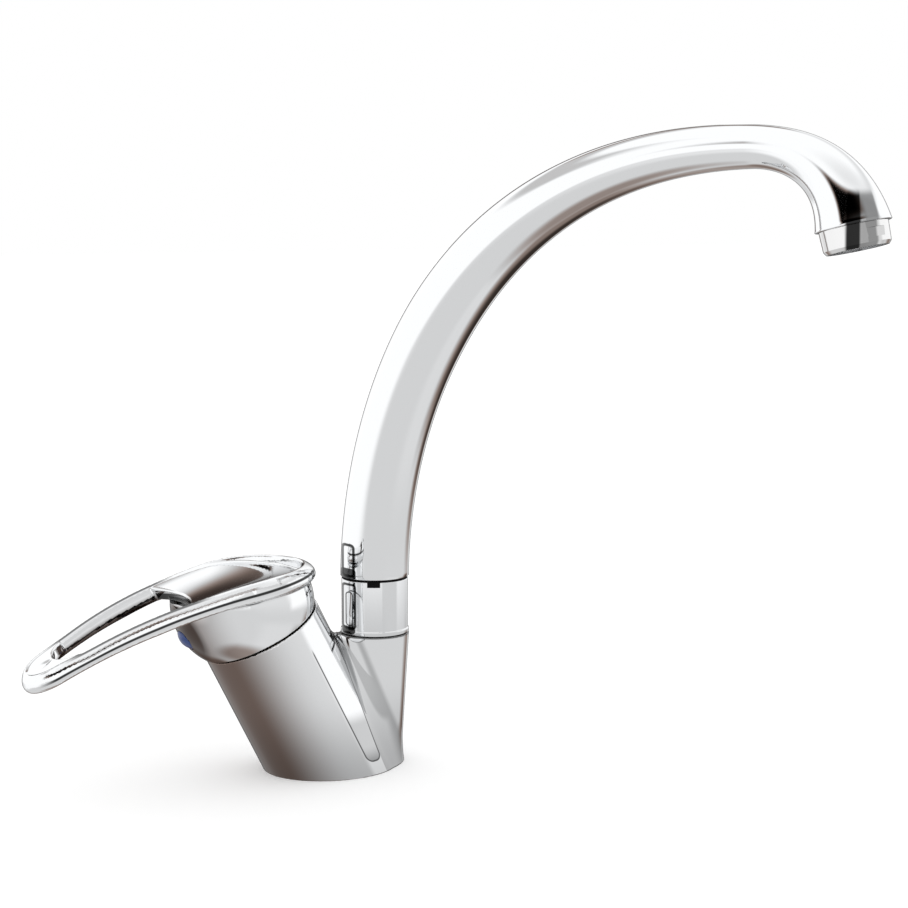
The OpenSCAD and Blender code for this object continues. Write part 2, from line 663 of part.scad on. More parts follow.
module tube() {
    n = tube_sides;
    m = len(tube_steps);
    outer = [for (st = tube_steps) each tube_ring(st[0], st[1], tube_rad(st[0], st[1]))];
    inner = [for (st = tube_steps)
        each tube_ring(st[0], st[1], min(bore_max, tube_rad(st[0], st[1]) - tube_wall))];
    polyhedron(concat(outer, inner), concat(
        [for (i = [0:m - 2], j = [0:n - 1]) [i * n + j, i * n + (j + 1) % n, (i + 1) * n + j]],
        [for (i = [0:m - 2], j = [0:n - 1])
            [(i + 1) * n + j, i * n + (j + 1) % n, (i + 1) * n + (j + 1) % n]],
        [for (i = [0:m - 2], j = [0:n - 1])
            [(m + i) * n + j, (m + i + 1) * n + j, (m + i) * n + (j + 1) % n]],
        [for (i = [0:m - 2], j = [0:n - 1])
            [(m + i + 1) * n + j, (m + i + 1) * n + (j + 1) % n, (m + i) * n + (j + 1) % n]],
        [for (j = [0:n - 1]) [j, m * n + j, (j + 1) % n]],
        [for (j = [0:n - 1]) [m * n + j, m * n + (j + 1) % n, (j + 1) % n]],
        [for (j = [0:n - 1]) [(m - 1) * n + j, (m - 1) * n + (j + 1) % n, (2 * m - 1) * n + j]],
        [for (j = [0:n - 1])
            [(m - 1) * n + (j + 1) % n, (2 * m - 1) * n + (j + 1) % n, (2 * m - 1) * n + j]]));
}
// Frame of the mouth: Z runs down out of the spout and 0 is the mouth
module on_mouth() on_swivel() rotate([0, 0, spout_turn]) translate([spout_reach, 0, mouth_z])
    rotate([0, 180 - mouth_tilt, 0]) children();
aerator_thread_h = 5;
aerator_washer_t = 1.7;
thread_depth = aerator_thread_h + aerator_washer_t + thread_gap;
module spout() color(chrome) difference() {
    on_swivel() rotate([0, 0, spout_turn]) tube();
    on_swivel() disc(seat_r, root_z - 1, root_z + seat_h + 0.1);
    on_mouth() disc(aerator_thread_r + thread_gap, -thread_depth, 1);
}
aerator_wall = 1.3;
key_w = 7.4;
key_from = 2;
key_to = 5.2;
module aerator_shell() color(chrome) on_mouth() difference() {
    rotate_extrude() polygon([[aerator_thread_r - aerator_wall, -aerator_thread_h],
        [aerator_thread_r, -aerator_thread_h], [aerator_thread_r, 0.1], [aerator_r, 0.1],
        [aerator_r - 0.25, aerator_h - 1.2], [aerator_r - 1.1, aerator_h],
        [aerator_r - 2.4, aerator_h], [aerator_r - 2.4, aerator_h - 1],
        [aerator_thread_r - aerator_wall, aerator_h - 1]]);
    for (side = [30, 210]) rotate([0, 0, side]) translate([aerator_r - 0.7, -key_w / 2, key_from])
        cube([3, key_w, key_to - key_from]);
}
aerator_in = aerator_thread_r - aerator_wall;
module aerator_washer() color(rubber) on_mouth()
    ring(aerator_thread_r - 0.1, 6, -aerator_thread_h - aerator_washer_t, -aerator_thread_h);
insert_ribs = 8;
module aerator_insert() color(plastic) on_mouth() {
    ring(aerator_in - 0.1, aerator_in - 1.2, -aerator_thread_h + 0.05, aerator_h - 1.9);
    disc(3, -aerator_thread_h + 0.05, aerator_h - 3);
    difference() {
        disc(aerator_in - 0.6, -2, -0.6);
        for (i = [0:insert_ribs - 1]) rotate([0, 0, i * 360 / insert_ribs])
            translate([5.6, 0, -3]) cylinder(r = 1.5, h = 4);
    }
}
mesh_gap = 1.5;
mesh_wire = 0.45;
mesh_r = aerator_in - 0.1;
module aerator_mesh() color(steel) on_mouth() {
    low = aerator_h - 1.85;
    ring(mesh_r, mesh_r - 0.8, low, low + 0.8);
    intersection() {
        disc(mesh_r - 0.4, low, low + 0.8);
        union() {
            for (i = [-6:6]) translate([i * mesh_gap - mesh_wire / 2, -mesh_r, low + 0.1])
                cube([mesh_wire, 2 * mesh_r, 0.35]);
            for (i = [-6:6]) translate([-mesh_r, i * mesh_gap - mesh_wire / 2, low + 0.3])
                cube([2 * mesh_r, mesh_wire, 0.35]);
        }
    }
}

body();
base_seal();
cartridge_base();
port_seals();
fixed_disc();
moving_disc();
disc_carrier();
cartridge_shell();
turning_carriage();
pivot_pin();
lever_stem();
cartridge_nut();
dome_cap();
handle();
handle_screw();
index_button();
spout_collar();
collar_seal();
slip_ring();
spout_spigot();
spigot_seals();
spout_clip();
spout();
aerator_shell();
aerator_washer();
aerator_insert();
aerator_mesh();
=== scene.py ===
import json
import math
import bpy
import numpy as np
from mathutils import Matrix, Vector

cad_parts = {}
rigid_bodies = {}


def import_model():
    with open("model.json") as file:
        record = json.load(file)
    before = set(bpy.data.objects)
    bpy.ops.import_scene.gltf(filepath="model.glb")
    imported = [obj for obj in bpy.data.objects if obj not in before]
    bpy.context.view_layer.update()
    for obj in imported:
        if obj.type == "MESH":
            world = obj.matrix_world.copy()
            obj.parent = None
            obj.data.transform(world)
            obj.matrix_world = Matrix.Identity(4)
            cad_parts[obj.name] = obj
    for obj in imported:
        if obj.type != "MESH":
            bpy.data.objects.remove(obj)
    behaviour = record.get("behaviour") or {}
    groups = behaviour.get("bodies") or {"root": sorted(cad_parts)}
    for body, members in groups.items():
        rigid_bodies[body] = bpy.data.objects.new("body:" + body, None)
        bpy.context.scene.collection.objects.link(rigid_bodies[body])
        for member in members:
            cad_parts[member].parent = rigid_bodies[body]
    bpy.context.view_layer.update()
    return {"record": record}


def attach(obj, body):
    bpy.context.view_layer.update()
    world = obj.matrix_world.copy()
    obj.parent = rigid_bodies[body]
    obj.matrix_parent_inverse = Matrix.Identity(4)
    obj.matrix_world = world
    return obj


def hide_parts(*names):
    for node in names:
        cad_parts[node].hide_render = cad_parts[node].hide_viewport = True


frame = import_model()
MM = 0.001

# Sizes, in millimetres

# Barrel. Its own frame is r towards the spout, y sideways and s up its axis, from its mouth.
LEAN = math.radians(27)
BARREL_R, BARREL_LEN = 23.5, 63.7
MOUTH = np.array([-BARREL_LEN * math.sin(LEAN), 0, BARREL_LEN * math.cos(LEAN)])
AX_R = np.array([math.cos(LEAN), 0, math.sin(LEAN)])
AX_S = np.array([-math.sin(LEAN), 0, math.cos(LEAN)])
CHAMBER_R, CHAMBER_DEPTH = 20.3, 38.0
LIP_R, LIP_DEPTH = 22.95, 3.9
# Socket of the spout and its blend into the barrel
SOCKET_X, SOCKET_TOP, SOCKET_R = 19.4, 51.0, 13.3
SOCKET_SLOPE = math.tan(math.radians(3.6))
BLEND_LOW, BLEND_GROWTH, NOTCH_R, NOTCH_DEPTH = 7.0, 3.0, 7.0, 0.5
WELL_R, WELL_DEPTH = 10.5, 16.0
MOUTH_EDGE, FOOT_EDGE, BORE_EDGE = 0.5, 0.35, 0.2
# Underside
INLET_X, INLET_Y, INLET_R, INLET_DEPTH = -7.0, 8.5, 4.6, 11.0
STUD_X, STUD_R, STUD_DEPTH = 11.0, 3.4, 13.0
SEAL_R, SEAL_HALF, SEAL_DEPTH = 20.3, 1.2, 1.6
# Hub of the lever
PIVOT, LIFT = 11.0, math.radians(20)
SKIRT_GAP, SKIRT_WALL = 0.4, 2.0
SKIRT_R = math.hypot(LIP_R - SKIRT_GAP, PIVOT)
CHIN_SHIFT, CHIN_S, CHIN_R, CHIN_FILLET = 3.2, 14.5, 25.2, 1.2
CAVITY_TOP = 20.0
# Loop of the lever: the arch of its ridge and its line in plan
CREST_S, CREST_R, ARCH_R = 35.9, 60.0, 180.0
LOOP_REACH, LOOP_MID, LOOP_R, LOOP_TIP_R, LOOP_BOW = 74.5, 1.2, 24.6, 11.2, 1.0
LOOP_END = LOOP_REACH + LOOP_TIP_R
# Its band: lower at the tip and the rear, and dipping along the rails, by shares of its length
BAND_H, TIP_TRIM, TRIM_FROM, REAR_TRIM, RIDGE_DIP = 8.2, 0.2, 0.46, 0.22, 1.4
DIP_FROM, DIP_OVER, DIP_TIP = 0.57, 0.47, 0.28
BAND = np.array([[-0.3, 0], [0.5, -0.3], [1.7, -2], [2.5, -3.9], [2.7, -5.4], [2.4, -7.2],
                 [1.2, -BAND_H], [-1.6, -BAND_H + 0.1], [-2.3, -BAND_H + 1], [-2, -4.4],
                 [-1.1, -1.4]])
BAND_ROUND, BAND_FILLET, BAND_LAP = 0.55, 0.9, 2.0
# Dished floor with its round front, and the pad at the tip; both begin a little inside the line
INSIDE = 0.9
DISH, DISH_R, DISH_LIFT, FLOOR_T, FLOOR_FILLET = 3.4, 150.0, 0.2, 4.1, 0.8
FLOOR_FRONT, FLOOR_REAR, FLOOR_FOOT = -30.0, 18.0, PIVOT - 1.4
WINDOW_AT, WINDOW_R = 21.0, 45.0
PAD_FRONT, PAD_REAR, PAD_ROUND, PAD_TOP, PAD_FILLET = 73.8, 67.0, 12.0, 0.4, 1.2
# Planes round the dome cap at full lift: radius, height, and their slopes
DOME_ROOM_R, DOME_ROOM = 20.55, ((20.55, 1.1, 0.673, 0.74), (14.2, 5.8, 0.576, 0.818),
                                 (14.2, 5.8, 0.119, 0.993))
# Boss, pocket of the stem and hole of the set screw
BOSS_R, BOSS_HALF_R, BOSS_HALF_Y, BOSS_FOOT = -2.6, 8.4, 5.8, 14.6
POCKET_HALF, POCKET_TOP = 3.55, 20.22
SCREW_FROM, SCREW_TILT = (-3.5, 17.6), math.radians(12.4)
SCREW_R, BUTTON_R, BUTTON_FROM = 2.65, 4.41, 23.36
# Spout and collar
JOINT_Z, COLLAR_R, COLLAR_BORE, COLLAR_THREAD, COLLAR_FOOT = 72.4, 12.9, 8.56, 10.4, 38.0
SPOUT_TURN = math.radians(-60)
ROOT_Z, ROOT_R, NECK_R, MOUTH_R = JOINT_Z + 0.85, 13.3, 7.6, 13.1
ROOT_EDGE, MOUTH_ROUND = 0.35, 0.4
TAPER_FROM, NECK_WAIST = 0.38, 1.9
REACH, MOUTH_Z, MOUTH_TILT, APEX_U, APEX_Z = 193.7, 209.9, math.radians(13), 156.0, 236.7
LEAD_OUT, LEAD_UP, LEAD_BACK, LEAD_ON, LEAD_DOWN = 1.2, 78.0, 0.687, 0.51, 18.5
TUBE_WALL, BORE_R, TOP_Z = 2.2, 10.2, 244.27
THREAD_R, THREAD_DEPTH, SEAT_R, SEAT_H = 11.05, 9.0, 10.9, 9.0
OUTLET_U, FLARE_POWER = 193.5, 1.8
# Flange of the collar, just over the socket
FLANGE_Z, FLANGE_R, FLANGE_H, FLANGE_SLOPE = SOCKET_TOP + 0.3, COLLAR_R + 0.35, 1.5, 0.3


def to_world(p):
    """Points in the barrel's frame to the row frame."""
    return MOUTH + p[..., :1] * AX_R + p[..., 1:2] * np.array([0, 1, 0]) + p[..., 2:3] * AX_S


def to_barrel(p):
    q = p - MOUTH
    return q @ AX_R, p[..., 1], q @ AX_S


# Mesh helpers
def make(name, verts, faces, body, node, normals=None):
    """A smooth chrome piece that rides on a body and stands for a CAD node."""
    me = bpy.data.meshes.new(name)
    me.from_pydata((verts * MM).tolist(), [], faces.tolist())
    me.update()
    me.polygons.foreach_set("use_smooth", [True] * len(me.polygons))
    if normals is not None:
        me.normals_split_custom_set_from_vertices(normals.tolist())
    ob = bpy.data.objects.new(name, me)
    bpy.context.scene.collection.objects.link(ob)
    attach(ob, body)
    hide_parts(node)
    return ob


def ring_faces(rings, count):
    """Quads between closed rings of points, the last ring joined to the first."""
    i = np.arange(rings)[:, None] * count
    j = np.arange(count)[None, :]
    k = (j + 1) % count
    n = (i + count) % (rings * count)
    return np.stack([n + j, n + k, i + k, i + j], -1).reshape(-1, 4)


def lathe(profile, sides=96):
    """Closed profile of (radius, height) pairs, counter-clockwise, turned about Z."""
    a = np.linspace(0, 2 * math.pi, sides, endpoint=False)
    pts = np.stack([profile[:, :1] * np.cos(a), profile[:, :1] * np.sin(a),
                    profile[:, 1:] + 0 * a], -1)
    return pts.reshape(-1, 3), ring_faces(len(profile), sides)


def rounded(points, radii, steps=5):
    """Corners of a closed polygon rounded by arcs of the given radii."""
    points = np.asarray(points, float)
    out = []
    n = len(points)
    for i, r in enumerate(radii):
        p, a, b = points[i], points[i - 1], points[(i + 1) % n]
        if r <= 0:
            out.append(p)
            continue
        u, v = (a - p) / np.linalg.norm(a - p), (b - p) / np.linalg.norm(b - p)
        half = math.acos(np.clip(u @ v, -1, 1)) / 2
        t = min(r / math.tan(half), 0.49 * np.linalg.norm(a - p), 0.49 * np.linalg.norm(b - p))
        c = p + (u + v) / np.linalg.norm(u + v) * t / math.cos(half)
        s, e = p + u * t - c, p + v * t - c
        turn = math.atan2(s[0] * e[1] - s[1] * e[0], s @ e)
        for w in turn * np.arange(steps + 1) / steps:
            out.append(c + np.array([s[0] * math.cos(w) - s[1] * math.sin(w),
                                     s[0] * math.sin(w) + s[1] * math.cos(w)]))
    return np.array(out)


def inset(points, d):
    """Closed clockwise polygon with every side moved inwards by d."""
    out = []
    for a, b, c in zip(np.roll(points, 1, axis=0), points, np.roll(points, -1, axis=0)):
        u, v = (b - a) / np.linalg.norm(b - a), (c - b) / np.linalg.norm(c - b)
        m = np.array([u[1] + v[1], -u[0] - v[0]])
        out.append(b + m * d / (1 + u @ v))
    return np.array(out)


# Solids from distance fields
def soft_min(a, b, k):
    """Union with a fillet of radius k."""
    u, v = np.maximum(k - a, 0), np.maximum(k - b, 0)
    return np.maximum(k, np.minimum(a, b)) - np.sqrt(u * u + v * v)


def soft_max(a, b, k):
    return -soft_min(-a, -b, k)


def surface_net(vals):
    """Points, in cells, and quads of the surface where a grid's values change sign."""
    neg = vals < 0
    cells = tuple(k - 1 for k in vals.shape)
    total = np.zeros(cells + (3,), np.float32)
    count = np.zeros(cells, np.int16)
    cuts = []
    for d in range(3):
        o1, o2 = [e for e in range(3) if e != d]
        first, last = [slice(None)] * 3, [slice(None)] * 3
        first[d], last[d] = slice(0, -1), slice(1, None)
        va, vb = vals[tuple(first)], vals[tuple(last)]
        cross = neg[tuple(first)] != neg[tuple(last)]
        t = np.where(cross, va / np.where(cross, va - vb, 1), 0)
        cuts.append((cross, neg[tuple(first)]))
        for s1, s2 in ((0, 0), (0, 1), (1, 0), (1, 1)):
            part = [slice(None)] * 3
            part[o1], part[o2] = slice(s1, s1 + cells[o1]), slice(s2, s2 + cells[o2])
            c = cross[tuple(part)]
            count += c
            total[..., d] += np.where(c, t[tuple(part)], 0)
            total[..., o1] += np.where(c, s1, 0)
            total[..., o2] += np.where(c, s2, 0)
    used = count > 0
    index = np.full(cells, -1, np.int64)
    index[used] = np.arange(used.sum())
    faces = []
    for d, (cross, inside_first) in enumerate(cuts):
        o1, o2 = (d + 1) % 3, (d + 2) % 3
        at = np.argwhere(cross)
        at = at[(at[:, o1] > 0) & (at[:, o2] > 0)
                & (at[:, o1] < cells[o1]) & (at[:, o2] < cells[o2])]
        corners = []
        for e1, e2 in ((-1, -1), (0, -1), (0, 0), (-1, 0)):
            q = at.copy()
            q[:, o1] += e1
            q[:, o2] += e2
            corners.append(index[tuple(q.T)])
        quad = np.stack(corners, -1)
        flip = ~inside_first[tuple(at.T)]
        quad[flip] = quad[flip][:, ::-1]
        faces.append(quad)
    return np.argwhere(used) + total[used] / count[used][:, None], np.concatenate(faces)


def surface(field, low, high, step, polish=3):
    """The skin of field < 0 in a box, pulled exactly on to the surface, and its normals."""
    low = np.asarray(low, float)
    n = np.ceil((np.asarray(high, float) - low) / step).astype(int) + 1
    xs, ys, zs = (low[d] + step * np.arange(n[d]) for d in range(3))
    y, z = np.meshgrid(ys, zs, indexing="ij")
    vals = np.empty(n, np.float32)
    for i, x in enumerate(xs):
        vals[i] = field(np.stack([np.full_like(y, x), y, z], -1))
    cells, faces = surface_net(vals)
    verts = low + step * cells
    probe = 0.02

    def slope():
        return np.stack([field(verts + h) - field(verts - h) for h in probe * np.eye(3)], -1) \
            / (2 * probe)

    for _ in range(polish):
        g = slope()
        move = field(verts) / np.maximum((g * g).sum(1), 0.05)
        verts -= np.clip(move, -step, step)[:, None] * g
    g = slope()
    return verts, faces, g / np.maximum(np.linalg.norm(g, axis=1), 1e-6)[:, None]


def polygon_2d(x, y, pts):
    """Signed distance to a polygon, below zero inside."""
    d = np.full(x.shape, 1e9)
    inside = np.zeros(x.shape, bool)
    for (ax, ay), (bx, by) in zip(pts, np.roll(pts, -1, axis=0)):
        ex, ey = bx - ax, by - ay
        wx, wy = x - ax, y - ay
        t = np.clip((wx * ex + wy * ey) / (ex * ex + ey * ey), 0, 1)
        d = np.minimum(d, (wx - ex * t) ** 2 + (wy - ey * t) ** 2)
        inside ^= ((ay > y) != (by > y)) & (x < ex * (y - ay) / (ey or 1e-9) + ax)
    return np.where(inside, -1, 1) * np.sqrt(d)


# Body
def body_joined(x, y, z):
    """Barrel, and barrel and socket with the valley between them filled."""
    barrel = np.hypot((x - MOUTH[0]) * AX_R[0] + (z - MOUTH[2]) * AX_R[2], y) - BARREL_R
    flare = 1 / math.hypot(1, SOCKET_SLOPE)
    socket = np.hypot(x - SOCKET_X, y) - (SOCKET_R - (SOCKET_TOP - z) * SOCKET_SLOPE)
    blend = BLEND_LOW + BLEND_GROWTH * np.clip(z / SOCKET_TOP, 0, 1)
    return barrel, soft_min(barrel, socket * flare, blend)


def body_field(p):
    r, y, s = to_barrel(p)
    x, z = p[..., 0], p[..., 2]
    barrel, joined = body_joined(x, y, z)
    low = soft_max(joined, z - SOCKET_TOP, FOOT_EDGE)
    notch = np.maximum(np.maximum(joined, soft_min(barrel, z - SOCKET_TOP, NOTCH_R)),
                       SOCKET_TOP - NOTCH_DEPTH - z)
    solid = np.minimum(np.minimum(barrel, low), notch)
    solid = soft_max(soft_max(solid, s, MOUTH_EDGE), -z, FOOT_EDGE)
    lip = LIP_R + (CHAMBER_R - LIP_R) * np.clip(-s / LIP_DEPTH, 0, 1)
    chamber = np.maximum(np.hypot(r, y) - lip, -CHAMBER_DEPTH - s)
    solid = soft_max(solid, -chamber, BORE_EDGE)
    well = np.maximum(np.hypot(x - SOCKET_X, y) - WELL_R, SOCKET_TOP - WELL_DEPTH - z)
    inlets = np.maximum(np.hypot(x - INLET_X, np.abs(y) - INLET_Y) - INLET_R, z - INLET_DEPTH)
    stud = np.maximum(np.hypot(x - STUD_X, y) - STUD_R, z - STUD_DEPTH)
    groove = np.maximum(np.abs(np.hypot(x, y) - SEAL_R) - SEAL_HALF, z - SEAL_DEPTH)
    for hole in (well, inlets, stud, groove):
        solid = np.maximum(solid, -hole)
    return solid


BODY_GRID = 0.56
v, f, n = surface(body_field, (-52, -25, -1.5), (34, 25, 69), BODY_GRID)
make("body_skin", v, f, "fixture", "body", n)

# Lever

# The band's corners are cut, and the polygon is moved in, to be grown again with a round edge
AFTER = np.roll(BAND, -1, axis=0)
CUT = np.stack([0.75 * BAND + 0.25 * AFTER, 0.25 * BAND + 0.75 * AFTER], 1).reshape(-1, 2)
BAND_IN = inset(CUT, BAND_ROUND)


def loop_2d(x, y):
    """Distance to the loop's plan and the share of the outward direction that runs along x."""
    h = LOOP_REACH + LOOP_MID
    px, py = np.abs(y), -x
    b = (LOOP_R - LOOP_TIP_R) / h
    a = math.sqrt(1 - b * b)
    k = -b * px + a * py
    near, far = np.hypot(px, py), np.hypot(px, py - h)
    rear, front = k < 0, k > a * h
    d = np.where(rear, near - LOOP_R, np.where(front, far - LOOP_TIP_R, a * px + b * py - LOOP_R))
    nx = np.where(rear, x / np.maximum(near, 1), np.where(front, (x + h) / np.maximum(far, 1), -b))
    t = np.clip(k / (a * h), 0, 1)
    return d - 4 * LOOP_BOW * t * (1 - t), nx


def smooth(t):
    t = np.clip(t, 0, 1)
    return t * t * (3 - 2 * t)


def band_place(r, y, s):
    """Distance outwards from the loop's line, height over the ridge, and place along r."""
    out, nx = loop_2d(r - LOOP_MID, y)
    # The ridge follows a parabola that sinks a little along the rails
    at = r - out * nx
    drop = RIDGE_DIP * smooth((DIP_FROM * LOOP_R - at) / (DIP_OVER * LOOP_END)) \
        * smooth((at + LOOP_END) / (DIP_TIP * LOOP_END))
    scale = 1 - REAR_TRIM * (np.maximum(at, 0) / (LOOP_R + LOOP_MID)) ** 2 \
        - TIP_TRIM * np.clip((-at / LOOP_END - TRIM_FROM) / (1 - TRIM_FROM), 0, 1) - drop / BAND_H
    ridge = CREST_S - (at + CREST_R) ** 2 / (2 * ARCH_R) - drop
    return out, (s - ridge) / scale, at


def loop_field(r, y, s, arch, hub):
    """The hub with the loop's band, the dished floor and the pad at the tip."""
    out, depth, _ = band_place(r, y, s)
    band = polygon_2d(out, depth, BAND_IN) - BAND_ROUND
    dish = DISH_R - np.hypot(DISH - arch - DISH_LIFT - DISH_R, y)
    floor = np.maximum(np.maximum(out + INSIDE, dish), arch - DISH - FLOOR_T)
    floor = soft_max(floor, WINDOW_R - np.hypot(r + WINDOW_AT + WINDOW_R, y), 1.0)
    floor = np.maximum(floor, FLOOR_FRONT - r)
    floor = np.maximum(floor, np.minimum(r - FLOOR_REAR, FLOOR_FOOT - s))
    pad = np.maximum(out + INSIDE, depth + PAD_TOP)
    pad = np.maximum(pad, arch - BAND_H * (1 - TIP_TRIM) + 1)
    pad = soft_max(pad, PAD_ROUND - np.hypot(r + PAD_FRONT - PAD_ROUND, y), 0.8)
    pad = soft_max(pad, r + PAD_REAR, 0.5)
    solid = soft_min(soft_min(hub, band, BAND_FILLET), floor, FLOOR_FILLET)
    return soft_min(solid, pad, PAD_FILLET)


def dome_room(r, y, s):
    """The room that the dome cap needs at full lift."""
    c, k = math.cos(LIFT), math.sin(LIFT)
    lifted = np.hypot(r * c + (s - PIVOT) * k, y)
    height = (s - PIVOT) * c - r * k + PIVOT
    room = np.maximum(lifted - DOME_ROOM_R, -height)
    for radius, foot, slope_r, slope_s in DOME_ROOM:
        room = np.maximum(room, (lifted - radius) * slope_r + (height - foot) * slope_s)
    return room


def screw_field(r, y, s):
    """Hole of the set screw and the seat of the button, on a tilted line out of the chin."""
    dr, ds = -math.cos(SCREW_TILT), -math.sin(SCREW_TILT)
    r, s = r - SCREW_FROM[0], s - SCREW_FROM[1]
    t = r * dr + s * ds
    off = np.sqrt((r - t * dr) ** 2 + (s - t * ds) ** 2 + y * y)
    return np.minimum(np.maximum(off - SCREW_R, -1 - t),
                      np.maximum(off - BUTTON_R, BUTTON_FROM - t))


def handle_field(p):
    r, y, s = p[..., 0], p[..., 1], p[..., 2]
    arch = ARCH_R - np.hypot(r + CREST_R, s - CREST_S + ARCH_R)
    skirt = np.sqrt(r * r + y * y + (s - PIVOT) ** 2) - SKIRT_R
    chin = np.sqrt((r + CHIN_SHIFT) ** 2 + y * y + (s - CHIN_S) ** 2) - CHIN_R
    hub = soft_max(soft_min(skirt, chin, CHIN_FILLET), SKIRT_GAP - s, 0.25)
    hub = np.maximum(hub, BAND_H - BAND_LAP - arch)
    solid = loop_field(r, y, s, arch, hub)
    under = DISH + FLOOR_T - arch
    cavity = np.maximum(skirt + SKIRT_WALL, np.minimum(under, dome_room(r, y, s)))
    solid = np.maximum(solid, -np.maximum(cavity, s - CAVITY_TOP))
    boss = np.maximum(np.abs(y) - BOSS_HALF_Y, np.abs(r - BOSS_R) - BOSS_HALF_R)
    solid = np.minimum(solid, np.maximum(np.maximum(boss, BOSS_FOOT - s), under - 1))
    pocket = np.maximum(np.abs(y), np.abs(r)) - POCKET_HALF
    solid = np.maximum(solid, -np.maximum(pocket, s - POCKET_TOP))
    return soft_max(solid, -screw_field(r, y, s), 0.15)


HANDLE_GRID = 0.45
v, f, n = surface(handle_field, (-91, -29, -1), (29, 29, 38), HANDLE_GRID)
lever = make("handle_skin", to_world(v), f, "lever", "handle",
             n @ np.stack([AX_R, [0, 1, 0], AX_S]))
# Where each point lies on the band, for the painted shade in the material
for key, values in zip(("out", "depth", "at"), band_place(*v.T)):
    attribute = lever.data.attributes.new(key, "FLOAT", "POINT")
    attribute.data.foreach_set("value", values.astype(np.float32))

# Spout
DOWN = np.array([math.sin(MOUTH_TILT), -math.cos(MOUTH_TILT)])
APEX, END = np.array([APEX_U, APEX_Z]), np.array([REACH, MOUTH_Z])
RISE = (np.array([0, ROOT_Z]), np.array([LEAD_OUT, ROOT_Z + LEAD_UP]),
        np.array([APEX_U * (1 - LEAD_BACK), APEX_Z]), APEX)
FALL = (APEX, np.array([APEX_U + (REACH - APEX_U) * LEAD_ON, APEX_Z]), END - DOWN * LEAD_DOWN, END)
RISE_STEPS, FALL_STEPS = 110, 60


def bezier(points, t):
    a, b, c, d = points
    t = t[:, None]
    return a * (1 - t) ** 3 + b * 3 * t * (1 - t) ** 2 + c * 3 * t * t * (1 - t) + d * t ** 3


def spout_line():
    """Points and directions of the centre line, and the tube's radius there."""
    up, down = np.linspace(0, 1, RISE_STEPS, endpoint=False), np.linspace(0, 1, FALL_STEPS)
    line = np.concatenate([bezier(RISE, up), bezier(FALL, down)])
    s = np.clip((up - TAPER_FROM) / (1 - TAPER_FROM), 0, None)
    taper = ROOT_R - (ROOT_R - NECK_R) * (2 * s * s - s ** 3)
    flare = NECK_R + (MOUTH_R - NECK_R) * down ** FLARE_POWER \
        - NECK_WAIST * down * (1 - down) ** 3
    way = np.gradient(line, axis=0)
    way /= np.linalg.norm(way, axis=1)[:, None]
    way[0], way[-1] = (0, 1), DOWN
    return line, way, np.concatenate([taper, flare])


def to_spout(u, y, z):
    """Points in the spout's plane, u along its reach, to the row frame."""
    c, s = math.cos(SPOUT_TURN), math.sin(SPOUT_TURN)
    return np.stack([SOCKET_X + u * c - y * s, u * s + y * c, z], -1)


def spout_skin(sides=72):
    line, way, radius = spout_line()
    a = np.linspace(0, 2 * math.pi, sides, endpoint=False)
    rings = []

    def ring(i, rad, along=0.0):
        u = line[i][0] + way[i][0] * along - rad * np.cos(a) * way[i][1]
        z = line[i][1] + way[i][1] * along + rad * np.cos(a) * way[i][0]
        rings.append(to_spout(u, rad * np.sin(a), np.minimum(z, TOP_Z)))

    end = len(line) - 1
    for q in np.linspace(0, math.pi / 2, 5)[:-1]:
        ring(0, ROOT_R - ROOT_EDGE * (1 - math.sin(q)), ROOT_EDGE * (1 - math.cos(q)))
    for i in range(1, end):
        ring(i, radius[i])
    for q in np.linspace(0, math.pi / 2, 5):
        ring(end, MOUTH_R - MOUTH_ROUND * (1 - math.cos(q)), -MOUTH_ROUND * (1 - math.sin(q)))
    # Back through the bore, from the aerator's thread to the spigot's seat
    ring(end, THREAD_R + 0.05)
    ring(end, THREAD_R, -THREAD_DEPTH)
    for i in range(end - 8, 0, -2):
        ring(i, min(BORE_R, radius[i] - TUBE_WALL))
    ring(0, SEAT_R + 0.05, SEAT_H)
    ring(0, SEAT_R)
    return np.concatenate(rings), ring_faces(len(rings), sides)


make("spout_skin", *spout_skin(), "spout", "spout")

# Collar
COLLAR = [[COLLAR_BORE, JOINT_Z], [COLLAR_BORE, COLLAR_FOOT], [COLLAR_THREAD, COLLAR_FOOT],
          [COLLAR_THREAD, FLANGE_Z], [FLANGE_R, FLANGE_Z], [FLANGE_R, FLANGE_Z + FLANGE_H],
          [COLLAR_R, FLANGE_Z + FLANGE_H + FLANGE_SLOPE], [COLLAR_R, JOINT_Z]]
v, f = lathe(rounded(COLLAR, [0.2, 0.3, 0.3, 0, 0.3, 0.4, 0.3, 0.35]))
make("collar_skin", v + np.array([SOCKET_X, 0, 0]), f, "fixture", "spout_collar")


# Shader helpers
class Socket:
    """A node's output with arithmetic."""

    def __init__(self, tree, node, output=0):
        self.tree, self.node, self.out = tree, node, node.outputs[output]

    def pick(self, output):
        return Socket(self.tree, self.node, output)

    def calc(self, op, *values):
        return self.tree.node("ShaderNodeMath", {"operation": op},
                              **{f"_{i}": value for i, value in enumerate(values)})

    def __add__(self, o):
        return self.calc("ADD", self, o)

    def __radd__(self, o):
        return self.calc("ADD", o, self)

    def __sub__(self, o):
        return self.calc("SUBTRACT", self, o)

    def __rsub__(self, o):
        return self.calc("SUBTRACT", o, self)

    def __mul__(self, o):
        return self.calc("MULTIPLY", self, o)

    def __rmul__(self, o):
        return self.calc("MULTIPLY", o, self)

    def __pow__(self, o):
        return self.calc("POWER", self, o)

    def __neg__(self):
        return self.calc("MULTIPLY", self, -1.0)

    def __abs__(self):
        return self.calc("ABSOLUTE", self)


